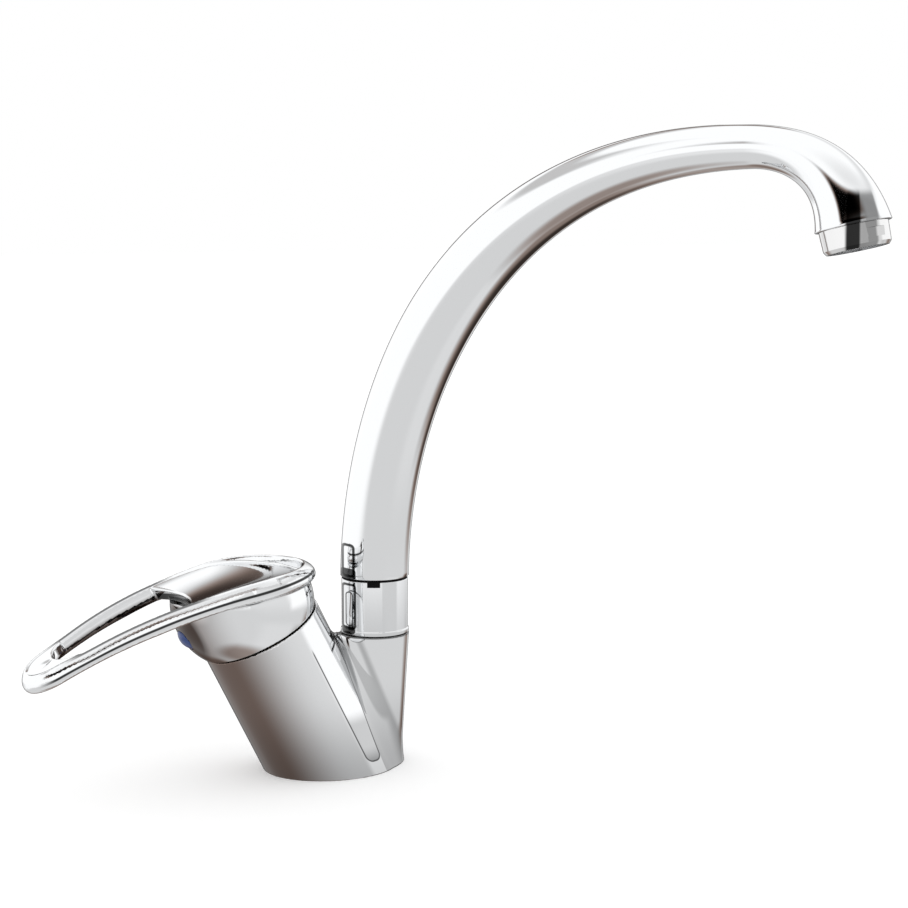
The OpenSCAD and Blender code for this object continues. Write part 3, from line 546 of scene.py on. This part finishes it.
class Tree:
    """The node tree of a material or a world."""

    def __init__(self, owner):
        owner.use_nodes = True
        self.tree = owner.node_tree
        self.tree.nodes.clear()

    def node(self, kind, settings=None, **inputs):
        """A new node; its inputs go by name, with _ for a space, or by number as in _6."""
        nd = self.tree.nodes.new(kind)
        for key, value in (settings or {}).items():
            setattr(nd, key, value)
        for key, value in inputs.items():
            sock = nd.inputs[int(key[1:]) if key[0] == "_" else key.replace("_", " ")]
            if isinstance(value, Socket):
                self.tree.links.new(value.out, sock)
            else:
                sock.default_value = value
        return Socket(self, nd) if len(nd.outputs) else None

    def axes(self, vector):
        parts = self.node("ShaderNodeSeparateXYZ", Vector=vector)
        return [parts.pick(axis) for axis in "XYZ"]

    def blend(self, factor, low, high):
        """Two colours mixed."""
        return self.node("ShaderNodeMix", {"data_type": "RGBA"}, _0=factor, _6=low, _7=high).pick(2)


def larger(a, b):
    return a.calc("MAXIMUM", a, b)


def smaller(a, b):
    return a.calc("MINIMUM", a, b)


def length(a, b):
    return (a * a + b * b) ** 0.5


def angle(y, x):
    """In degrees."""
    return y.calc("ARCTAN2", y, x) * (180 / math.pi)


def step(x, low, high):
    """0 below low, 1 above high and smooth between."""
    return x.tree.node("ShaderNodeMapRange", {"interpolation_type": "SMOOTHSTEP"},
                       Value=x, From_Min=low, From_Max=high).pick("Result")


def span(x, low, high, soft):
    """1 between low and high, with soft ends."""
    return step(x, low - soft, low + soft) * (1.0 - step(x, high - soft, high + soft))


def stripe(x, full, none):
    """1 within full of zero and 0 beyond none."""
    return 1.0 - step(abs(x), full, none)


def mix(a, b, f):
    return a + (b - a) * f


# Light and shade painted into the chrome's colour, in place of what it would mirror

# Each of these gives the painted lightness of the chrome, 0 to 1, and how much painted brown shade
# it has.
def millimetres(t, co):
    return [part * 1000.0 for part in t.axes(co)]


def along_r(x, z):
    return (x - float(MOUTH[0])) * float(AX_R[0]) + (z - float(MOUTH[2])) * float(AX_R[2])


# Painted bright highlight on the body: turn of its flank, width of the valley beside it, height of
# its foot
FLANK_TURN, VALLEY_W, HIGHLIGHT_FOOT = math.radians(71.5), 9.9, 5.5
# Painted reflections in the outlet, in degrees round it
BLACK_BAND, GREY_BAND = (-80, -56), (-56, -27)
# Direction across the painted reflection of the lever
MIRROR_X, MIRROR_Y = 0.88, 0.475


def body_painted_light(t, co):
    """Painted light and shade: darker at the worktop and in the valley, a bright painted highlight
    with a dark outline, and painted brown shade on the front.
    """
    x, y, z = millimetres(t, co)
    side, r, off = abs(y), along_r(x, z), x - SOCKET_X
    socket = length(off, y) - SOCKET_R + (SOCKET_TOP - z) * SOCKET_SLOPE
    root = length(r, y) - BARREL_R
    phi = angle(side, r)

    def join(a, b, k):
        return smaller(larger(a, b), -k) + length(larger(a + k, 0.0), larger(b + k, 0.0))

    # Painted highlight between the flank, the valley and a foot above the worktop
    flank = side * math.cos(FLANK_TURN) - r * math.sin(FLANK_TURN)
    valley = VALLEY_W - socket
    highlight = join(join(flank, valley, 1.0), HIGHLIGHT_FOOT - z, 2.5)
    below_top = step(-z, -SOCKET_TOP - 1, -SOCKET_TOP + 2)
    # Painted dark outline round the highlight
    outline = stripe(highlight, 0.12, 0.42) * below_top * step(side, 9, 11)
    # Painted shade: darker towards the worktop, outside and inside the highlight
    base = 0.6 + 0.4 * step(z, -4, 36)
    within = 0.22 + 0.38 * step(z, 3, 12) + 0.4 * step(z, 20, 26)
    painted_light = mix(base, within, 1.0 - step(highlight, -0.2, 0.1))
    # Painted shade in the valley between barrel and socket
    valley_shade = step(valley, -0.1, 0.3) * step(-z, -SOCKET_TOP, -SOCKET_TOP + 2)
    valley_shade = valley_shade * step(BLEND_LOW + z * (BLEND_GROWTH / SOCKET_TOP) - root, 0.2, 2.2)
    # Painted brown shade on the side away from the spout
    brown = step(phi, 86, 147) * step(-z, -SOCKET_TOP - 14, -SOCKET_TOP - 12)
    # Painted dark shade line along the notch and the socket's top
    high = z - SOCKET_TOP
    crest_shade = larger(smaller(root, high), NOTCH_R) \
        - length(larger(NOTCH_R - root, 0.0), larger(NOTCH_R - high, 0.0)) \
        + 0.9 * step(z, SOCKET_TOP, SOCKET_TOP + 2)
    crest_shade = step(crest_shade, -0.8, -0.4) * step(root, 0.2, 0.8) * step(r, 4, 8)
    crest_shade = crest_shade * step(z, SOCKET_TOP - 1.5, SOCKET_TOP - 1)
    # Painted shade, a little darker further round, away from the spout
    painted_light = painted_light * (1.0 - 0.07 * step(phi, 135, 170))
    return painted_light * (1.0 - 0.36 * valley_shade) * (1.0 - 0.85 * outline) * (1.0 - 0.8 * crest_shade), brown


def handle_painted_light(t, co):
    """Painted shade: dark lines along the band, brown shade on the inner faces, dish and chin, a
    dark front of the floor.
    """
    out, depth, at = (t.node("ShaderNodeAttribute", {"attribute_name": key}).pick("Fac")
                      for key in ("out", "depth", "at"))
    x, y, z = millimetres(t, co)
    r = along_r(x, z)
    s = (x - float(MOUTH[0])) * float(AX_S[0]) + (z - float(MOUTH[2])) * float(AX_S[2])
    # Painted dark shade lines along the band: at its widest, under it and on its ridge
    widest = stripe(depth + 4.6, 0.35, 0.75) * step(out, 1.5, 1.9) * step(at, -84, -78)
    under = stripe(depth + 8.5, 0.15, 0.5) * step(out, 0.6, 1.0) * step(at, -34, -26)
    ridge = (1.0 - step(-depth, 0.55, 1.0)) * step(out, -1.4, -1.1) * (1.0 - step(out, 0.9, 1.3))
    ridge = ridge * step(at, -76, -66) * step(-at, 14, 24)
    # Painted shade on the rails' inner faces
    inner = (1.0 - step(out, -1.3, -0.9)) * (1.0 - step(depth, -7.0, -3.6)) * step(at, -80, -70)
    inner = inner * step(-r, 24, 26)
    # Painted shade on the front face of the floor, at the window
    window = length(r + (WINDOW_AT + WINDOW_R), y) - WINDOW_R
    face = stripe(window, 0.5, 0.9) * (1.0 - step(out, -2.8, -2.2))
    face = face * step(-depth, 3.6, 4.2) * step(depth, -9.5, -8.5)
    # Painted brown shade on the chin and in the dish
    chin = step(angle(abs(y), r), 118, 172) * step(-depth, 8.4, 9.6) * step(r, -32, -26)
    below = s - CREST_S + (r + CREST_R) * (r + CREST_R) * (0.5 / ARCH_R)
    dish = (1.0 - step(out, -1.8, -1.2)) * step(r, -25, -23) * step(below, -7.0, -6.3)
    brown = larger(larger(chin, dish * step(-y, 0, 15) * 0.9), inner)
    painted_light = (1.0 - 0.95 * widest) * (1.0 - 0.85 * under) * (1.0 - 0.8 * ridge)
    return painted_light * (1.0 - 0.55 * inner) * (1.0 - 0.96 * face), brown


def outlet_painted_reflection(t, co):
    """Painted black and grey reflections round the outlet, on the side that faces the camera."""
    x, y, z = millimetres(t, co)
    c, s = math.cos(SPOUT_TURN), math.sin(SPOUT_TURN)
    u = (x - SOCKET_X) * c + y * s
    turn = angle(y * c - (x - SOCKET_X) * s, u - OUTLET_U)
    near = step(u, 172, 176) * step(-z, -223, -220)
    black, grey = span(turn, *BLACK_BAND, 3) * near, span(turn, *GREY_BAND, 3) * near
    return (1.0 - 0.97 * black) * (1.0 - 0.6 * grey)


def painted_lever_reflection(t, co, boxes):
    """The lever's reflection, painted on the spout's foot: boxes at (across, height), with their
    half sizes and the width of their line, 0 for a filled one."""
    x, y, z = millimetres(t, co)
    across = (x - SOCKET_X) * MIRROR_X - y * MIRROR_Y
    front = step((x - SOCKET_X) * -MIRROR_Y - y * MIRROR_X, 0, 2)
    corner, painted_light = 1.2, 1.0
    for a, h, half_a, half_h, thick in boxes:
        edge = length(larger(abs(across - a) - (half_a - corner), 0.0),
                      larger(abs(z - h) - (half_h - corner), 0.0)) - corner
        edge = abs(edge) if thick else edge
        painted_light = (1.0 - 0.93 * (1.0 - step(edge, thick, thick + 0.35)) * front) * painted_light
    return painted_light


# Painted reflections round the outlet
def aerator_painted_reflection(t, co):
    return outlet_painted_reflection(t, co), 0.0


# Painted reflections round the outlet, and the lever's painted reflection on the spout's foot
def spout_painted_reflection(t, co):
    boxes = [(-9.9, 80.4, 2.2, 6.0, 0.35), (-9.9, 75.2, 2.9, 2.0, 0.0)]
    return outlet_painted_reflection(t, co) * painted_lever_reflection(t, co, boxes), 0.0


# The lever's painted reflection on the collar
def collar_painted_reflection(t, co):
    boxes = [(-9.7, 62.5, 2.5, 8.5, 0.3), (-9.5, 61.5, 1.3, 6.5, 0.05), (-9.9, 53.2, 2.6, 1.3, 0.0)]
    return painted_lever_reflection(t, co, boxes), 0.0


# Materials
# Colours of the painted brown shade, of black, and of the painted dark rim of the chrome
BROWN_SHADE, BLACK, RIM_SHADE = (0.178, 0.132, 0.114, 1), (0, 0, 0, 1), (0.015, 0.013, 0.012, 1)


def finish(name, color, metallic, roughness, wear, scale, bump=0.0, coat=0.0, painted_light=None, edge=0.0,
           gloss=0.5):
    """A finish whose roughness varies a little; its colour can carry painted light, painted brown
    shade and a painted dark rim where it is seen at a grazing angle.
    """
    mat = bpy.data.materials.new(name)
    t = Tree(mat)
    co = t.node("ShaderNodeTexCoord").pick("Object")
    noise = t.node("ShaderNodeTexNoise", Vector=co, Scale=scale, Detail=3.0).pick("Fac")
    base, extra = (*color, 1), {}
    if painted_light:
        # Painted light and painted brown shade go into the base colour
        light, brown = painted_light(t, co)
        base = t.blend(light, BLACK, t.blend(brown, base, BROWN_SHADE))
    if bump:
        extra["Normal"] = t.node("ShaderNodeBump", Height=noise, Strength=0.3, Distance=bump)
    shader = t.node("ShaderNodeBsdfPrincipled", Base_Color=base, Metallic=metallic,
                    Roughness=roughness + wear * (noise - 0.5), Coat_Weight=coat,
                    Specular_IOR_Level=gloss, **extra)
    # Painted dark rim where the surface is seen at a grazing angle
    if edge:
        facing = t.node("ShaderNodeLayerWeight", Blend=0.5).pick("Facing")
        shader = t.node("ShaderNodeMixShader", _0=step(facing, 0.72, 0.93) * edge, _1=shader,
                        _2=t.node("ShaderNodeBsdfDiffuse", Color=RIM_SHADE))
    t.node("ShaderNodeOutputMaterial", Surface=shader)
    return mat


# Chrome, with a painted dark rim at grazing angles, and painted light where given
def chrome(name, color=(0.86, 0.87, 0.88), roughness=0.05, painted_light=None):
    return finish(name, color, 1.0, roughness, 0.02, 60, painted_light=painted_light, edge=0.85)


# Arguments: colour, metallic, roughness, its wear, scale of the wear, bump and coat
BLACK_RUBBER = finish("black_rubber", (0.004, 0.004, 0.004), 0.0, 0.8, 0.1, 900, gloss=0.1)
OF_SLOT = {
    "chrome": chrome("chrome"),
    "brass": finish("brass", (0.78, 0.62, 0.32), 1.0, 0.28, 0.1, 500),
    "steel": finish("steel", (0.62, 0.63, 0.65), 1.0, 0.25, 0.1, 600),
    "plastic": finish("plastic", (0.82, 0.82, 0.79), 0.0, 0.42, 0.1, 800, 0.00003),
    "ceramic": finish("ceramic", (0.9, 0.88, 0.84), 0.0, 0.2, 0.05, 900),
    "rubber": finish("rubber", (0.02, 0.02, 0.022), 0.0, 0.55, 0.15, 900, 0.00003),
    "blue": finish("blue_plastic", (0.012, 0.045, 0.2), 0.0, 0.25, 0.06, 500, 0, 0.3),
}
OF_PIECE = {
    "body_skin": chrome("body_chrome", painted_light=body_painted_light),
    "collar_skin": chrome("collar_chrome", (0.76, 0.77, 0.78), 0.06, collar_painted_reflection),
    "spout_skin": chrome("spout_chrome", painted_light=spout_painted_reflection),
    "handle_skin": chrome("handle_chrome", painted_light=handle_painted_light),
    "aerator_shell": chrome("aerator_chrome", (0.8, 0.8, 0.8), 0.06, aerator_painted_reflection),
    # Brass darkened as painted shade, so the gap under the lever reads dark
    "cartridge_nut": finish("dull_brass", (0.11, 0.08, 0.045), 1.0, 0.5, 0.1, 500),
    "slip_ring": BLACK_RUBBER,
    "collar_seal": BLACK_RUBBER,
}
SLOT_OF = {s["node"]: s["material_slot"] for s in frame["record"]["subparts"]}
for ob in list(bpy.data.objects):
    if ob.type == "MESH":
        ob.data.materials.clear()
        ob.data.materials.append(OF_PIECE.get(ob.name, OF_SLOT[SLOT_OF.get(ob.name, "chrome")]))


# Stage
def studio_light(t):
    """Brightness that the chrome mirrors, 0 black and 1 white as seen: walls, ground, flags."""
    x, y, z = t.axes(t.node("ShaderNodeTexCoord").pick("Generated"))
    el = z.calc("ARCSINE", z) * (180 / math.pi)
    az = angle(x, y)
    sky = mix(0.98, 0.85, step(az, 20, 50) * (1.0 - step(el, 38, 57)))
    sky = mix(sky, 0.88, step(-y, 0.1, 0.6) * step(el, 38, 57))
    # Pale arch overhead and its darker foot
    sky = mix(sky, 0.74, span(el, 34, 47, 3) * span(az, -72, 15, 14))
    sky = mix(sky, 0.48, span(el, 33, 39, 3) * span(az, 2, 24, 5))
    # Upright flag, leaning, with a dark foot
    sky = mix(sky, 0.15, span(az - (el - 20) * 0.49, 20.7, 27.8, 7) * span(el, 3, 45, 6))
    sky = mix(sky, 0.3, span(az, 13, 21, 3) * (1.0 - step(el, 9, 28)))
    # Thin dark strip high behind the camera
    strip = stripe(y * 0.415 + z * 0.91 - 0.265, 0.04, 0.146) * step(-y, 0.05, 0.25)
    sky = mix(sky, mix(0.02, 0.8, step(x, -0.5, 0.2)), strip)
    # Grey table, brighter near the horizon
    ground = mix(0.8, 0.42, span(az, -5, 36, 14) * span(el, -60, -28, 8))
    ground = mix(ground, 0.83, step(az, 5, 60))
    ground = mix(ground, 0.8, step(az, 150, 180))
    ground = mix(ground, mix(0.8, 0.97, span(az, -98, -22, 15)), step(el, -33, -18))
    ground = mix(ground, 0.46, span(az, 34, 101, 17) * span(el, -75, -28, 6))
    ground = mix(ground, 0.52, step(-el, 62, 82))
    ground = mix(ground, 0.19, span(az, 41, 82, 14) * span(el, -53, -14, 9))
    ground = mix(ground, 0.9, span(az, 34, 58, 6) * step(el, -28, -20))
    # The horizon is sharper and lower on the left and in front
    left = mix(step(el, -8, 2), step(el, -13, -7), step(y, -0.55, -0.2))
    light = mix(ground, sky, mix(left, step(el, -19, 11), step(x, -0.1, 0.4)))
    # White wall at the right
    return mix(light, 0.98, span(az, 40, 124, 6) * span(el, -6, 34, 5))


FAR = 6
me = bpy.data.meshes.new("floor")
me.from_pydata([(-FAR, -FAR, 0), (FAR, -FAR, 0), (FAR, FAR, 0), (-FAR, FAR, 0)], [], [(0, 1, 2, 3)])
floor = bpy.data.objects.new("floor", me)
bpy.context.scene.collection.objects.link(floor)
# Grey with a glow for the camera, so it is white and keeps the shadow; mirrors look through it
mat = bpy.data.materials.new("floor")
t = Tree(mat)
path = t.node("ShaderNodeLightPath")
both = t.node("ShaderNodeAddShader", _0=t.node("ShaderNodeBsdfDiffuse", Color=(0.8, 0.8, 0.8, 1)),
              _1=t.node("ShaderNodeEmission", Color=(1, 1, 1, 1),
                        Strength=path.pick("Is Camera Ray") * 0.3))
through = larger(path.pick("Is Glossy Ray"), path.pick("Is Transmission Ray"))
t.node("ShaderNodeOutputMaterial", Surface=t.node(
    "ShaderNodeMixShader", _0=through, _1=both, _2=t.node("ShaderNodeBsdfTransparent")))
me.materials.append(mat)

# Plain white for all but glossy rays, which see the studio, warmer where it is dark
world = bpy.data.worlds.new("studio")
bpy.context.scene.world = world
t = Tree(world)
level = studio_light(t)
warm = t.blend(step(level, 0.35, 0.8), (1.2, 0.9, 0.77, 1), (1, 1, 1, 1))
t.node("ShaderNodeOutputWorld", Surface=t.node(
    "ShaderNodeMixShader", _0=t.node("ShaderNodeLightPath").pick("Is Glossy Ray"),
    _1=t.node("ShaderNodeBackground", Color=(1, 1, 1, 1), Strength=1.0),
    _2=t.node("ShaderNodeBackground", Color=warm, Strength=level ** 2.2 * 1.2)))

# Camera

# Its place in metres, its direction, and half the picture and the focal length in pixels
EYE = (-0.3550, -0.7604, 0.2241)
AZ, EL = math.radians(-28.3), math.radians(6.97)
HALF_WIDTH, FOCAL = 454, 2210.9
cam = bpy.data.cameras.new("camera")
cam.lens_unit = "FOV"
cam.sensor_fit = "HORIZONTAL"
cam.angle = 2 * math.atan(HALF_WIDTH / FOCAL)
cam.clip_start, cam.clip_end = 0.01, 20
eye = bpy.data.objects.new("camera", cam)
bpy.context.scene.collection.objects.link(eye)
eye.location = EYE
look = Vector((-math.sin(AZ) * math.cos(EL), math.cos(AZ) * math.cos(EL), -math.sin(EL)))
eye.rotation_euler = look.to_track_quat("-Z", "Y").to_euler()
bpy.context.scene.camera = eye
bpy.context.scene.view_settings.view_transform = "Standard"
